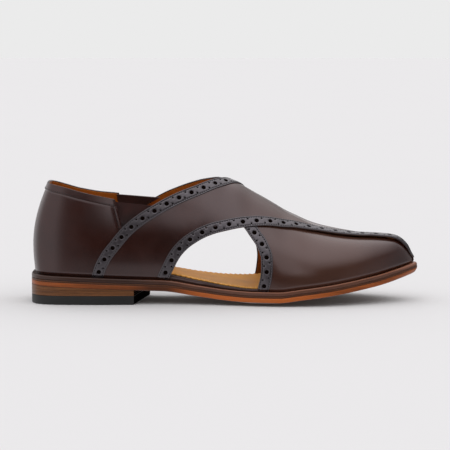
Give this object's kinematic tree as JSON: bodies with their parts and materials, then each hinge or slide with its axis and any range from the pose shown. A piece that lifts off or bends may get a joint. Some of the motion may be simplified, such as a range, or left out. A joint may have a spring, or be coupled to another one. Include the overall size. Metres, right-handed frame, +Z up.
{
  "type": "peshawari chappal",
  "caption": "Right-foot chappal shoe of crossing brogued leather straps with open sides, a closed heel with elastic gores, and a leather sole on a low stacked heel.",
  "frame": {"origin": "on the floor, under the middle of the shoe's box", "axes": "+X to the toe, +Y to the inner side of the foot, +Z up"},
  "size_m": [0.305, 0.0974, 0.0972],
  "materials": {
    "heel_tip": "matt moulded rubber",
    "heel_stack": "burnished leather lifts",
    "outsole": "waxed sole leather edge",
    "welt": "dyed welt leather",
    "insole": "leather-wrapped board",
    "sock": "undyed lining leather",
    "upper": "polished burnished calf",
    "gore": "ribbed elastic"
  },
  "bodies": {
    "root": {"heel_tip": "heel_tip", "heel_stack": "heel_stack", "outsole": "outsole", "welt": "welt", "insole": "insole", "sock": "sock", "upper": "upper", "outer_gore": "gore", "inner_gore": "gore"}
  },
  "joints": []
}
